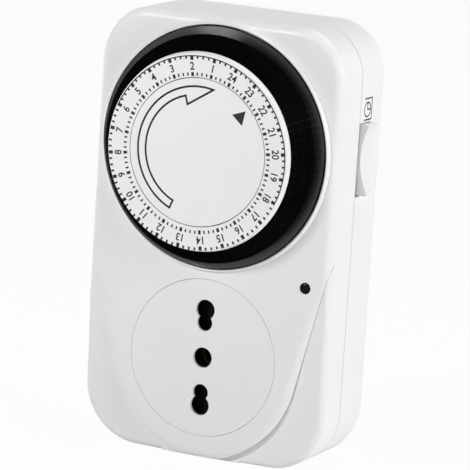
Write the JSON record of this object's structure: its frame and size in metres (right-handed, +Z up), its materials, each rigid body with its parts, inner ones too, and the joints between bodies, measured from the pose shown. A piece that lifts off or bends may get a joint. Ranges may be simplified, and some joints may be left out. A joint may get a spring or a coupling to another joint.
{
  "type": "plug-in socket timer",
  "caption": "Plug-in mains timer with a turning 24-hour dial, push-in switching segments, a side rocker and a round three-hole socket on the front.",
  "frame": {"origin": "root of the plug's earth pin, on the rear face that meets the wall socket", "axes": "+X right as seen from the front, +Y back into the wall along the pins, +Z up; the dial faces -Y"},
  "size_m": [0.0741, 0.0611, 0.1188],
  "materials": {
    "white_plastic": "fine satin moulded plastic",
    "rocker_plastic": "satin moulded plastic, a little smoother than the case",
    "dial_print": "smooth white plastic with dark grey print",
    "black_plastic": "glossy black moulded plastic",
    "steel": "zinc plated steel",
    "brass": "drawn brass",
    "black_sleeve": "matt black plastic",
    "ferrite": "sintered ferrite",
    "natural_nylon": "natural nylon",
    "gear_acetal": "white acetal",
    "amber_plastic": "amber plastic",
    "copper": "enamelled copper",
    "lamp_lens": "smoked dark lens",
    "lamp_red": "clear red resin",
    "board": "green laminate",
    "resistor_body": "tan lacquer",
    "wire_insulation": "flexible insulation"
  },
  "bodies": {
    "case": {"front_cover": "white_plastic", "rear_cover": "white_plastic", "socket_faceplate": "white_plastic", "centre_disc": "dial_print", "case_screws": "steel", "plate_screws": "steel", "plate_pillars": "steel", "dial_spindle": "steel", "gear_arbors": "steel", "feeler_pin": "steel", "shutter_spring": "steel", "motor_can": "steel", "line_socket_contact": "brass", "neutral_socket_contact": "brass", "earth_socket_contact": "brass", "plug_earth_pin": "brass", "plug_line_pin": "brass", "plug_neutral_pin": "brass", "line_bar": "brass", "load_bar": "brass", "switch_terminals": "brass", "pin_sleeves": "black_sleeve", "switch_case": "black_sleeve", "contact_base": "natural_nylon", "mechanism_plate": "natural_nylon", "gear_plate": "natural_nylon", "motor_bobbin": "natural_nylon", "switch_lid": "amber_plastic", "switch_blade": "copper", "motor_winding": "copper", "lamp_lens": "lamp_lens", "lamp_led": "lamp_red", "lamp_board": "board", "lamp_resistor": "resistor_body", "lamp_leads": "wire_insulation", "motor_leads": "wire_insulation"},
    "dial": {"segment_carrier": "black_plastic", "number_ring": "dial_print", "clutch_washer": "steel"},
    "night": {"night_segments": "black_plastic"},
    "morning": {"morning_segments": "black_plastic"},
    "afternoon": {"afternoon_segments": "black_plastic"},
    "evening": {"evening_segments": "black_plastic"},
    "drive_wheel": {"dial_drive_wheel": "gear_acetal"},
    "rotor": {"rotor_magnet": "ferrite", "rotor_shaft": "steel"},
    "wheel_1": {"first_wheel": "gear_acetal"},
    "wheel_2": {"second_wheel": "gear_acetal"},
    "wheel_3": {"third_wheel": "gear_acetal"},
    "wheel_4": {"fourth_wheel": "gear_acetal"},
    "wheel_5": {"fifth_wheel": "gear_acetal"},
    "feeler": {"feeler_lever": "natural_nylon"},
    "plunger": {"switch_plunger": "amber_plastic"},
    "rocker": {"rocker": "rocker_plastic"},
    "shutter": {"socket_shutter": "black_plastic"}
  },
  "joints": [
    {"name": "dial_turn", "type": "hinge", "parent": "case", "child": "dial", "pos_m": [0, -0.036, 0.05685], "axis": [0, 1, 0], "continuous": true},
    {"name": "night_push", "type": "slide", "parent": "dial", "child": "night", "axis": [0, 1, 0], "range_m": [0, 0.0024]},
    {"name": "morning_push", "type": "slide", "parent": "dial", "child": "morning", "axis": [0, 1, 0], "range_m": [0, 0.0024]},
    {"name": "afternoon_push", "type": "slide", "parent": "dial", "child": "afternoon", "axis": [0, 1, 0], "range_m": [0, 0.0024]},
    {"name": "evening_push", "type": "slide", "parent": "dial", "child": "evening", "axis": [0, 1, 0], "range_m": [0, 0.0024]},
    {"name": "rotor_spin", "type": "hinge", "parent": "case", "child": "rotor", "pos_m": [-0.00616, -0.019, 0.07105], "axis": [0, 1, 0], "continuous": true},
    {"name": "wheel_1_spin", "type": "hinge", "parent": "case", "child": "wheel_1", "pos_m": [-0.01258, -0.019, 0.06312], "axis": [0, 1, 0], "continuous": true},
    {"name": "wheel_2_spin", "type": "hinge", "parent": "case", "child": "wheel_2", "pos_m": [-0.0025, -0.019, 0.05925], "axis": [0, 1, 0], "continuous": true},
    {"name": "wheel_3_spin", "type": "hinge", "parent": "case", "child": "wheel_3", "pos_m": [-0.00929, -0.019, 0.05086], "axis": [0, 1, 0], "continuous": true},
    {"name": "wheel_4_spin", "type": "hinge", "parent": "case", "child": "wheel_4", "pos_m": [0.00023, -0.019, 0.0472], "axis": [0, 1, 0], "continuous": true},
    {"name": "wheel_5_spin", "type": "hinge", "parent": "case", "child": "wheel_5", "pos_m": [-0.00657, -0.019, 0.03881], "axis": [0, 1, 0], "continuous": true},
    {"name": "drive_wheel_spin", "type": "hinge", "parent": "case", "child": "drive_wheel", "pos_m": [0, -0.019, 0.05685], "axis": [0, 1, 0], "continuous": true},
    {"name": "feeler_tilt", "type": "hinge", "parent": "case", "child": "feeler", "pos_m": [0.02343, -0.0226, 0.03125], "axis": [-1, 0, 0], "range_deg": [0, 7]},
    {"name": "plunger_slide", "type": "slide", "parent": "case", "child": "plunger", "axis": [0, 0, -1], "range_m": [0, 0.00113], "stiffness_N_per_m": 0.3, "springref_m": -0.004},
    {"name": "rocker_tilt", "type": "hinge", "parent": "case", "child": "rocker", "pos_m": [0.0315, -0.0154, 0.0563], "axis": [0, 1, 0], "range_deg": [0, 4]},
    {"name": "shutter_slide", "type": "slide", "parent": "case", "child": "shutter", "axis": [1, 0, 0], "range_m": [0, 0.0066], "stiffness_N_per_m": 8, "springref_m": -0.01, "deforming": ["shutter_spring"]}
  ],
  "couplings": [
    {"joint": "wheel_1_spin", "follows": "rotor_spin", "ratio": -0.13333},
    {"joint": "wheel_2_spin", "follows": "rotor_spin", "ratio": 0.016667},
    {"joint": "wheel_3_spin", "follows": "rotor_spin", "ratio": -0.0020833},
    {"joint": "wheel_4_spin", "follows": "rotor_spin", "ratio": 0.00027778},
    {"joint": "wheel_5_spin", "follows": "rotor_spin", "ratio": -0.000034722},
    {"joint": "drive_wheel_spin", "follows": "rotor_spin", "ratio": 0.0000023148},
    {"joint": "feeler_tilt", "follows": "plunger_slide", "rad_per_m": 92.593}
  ]
}
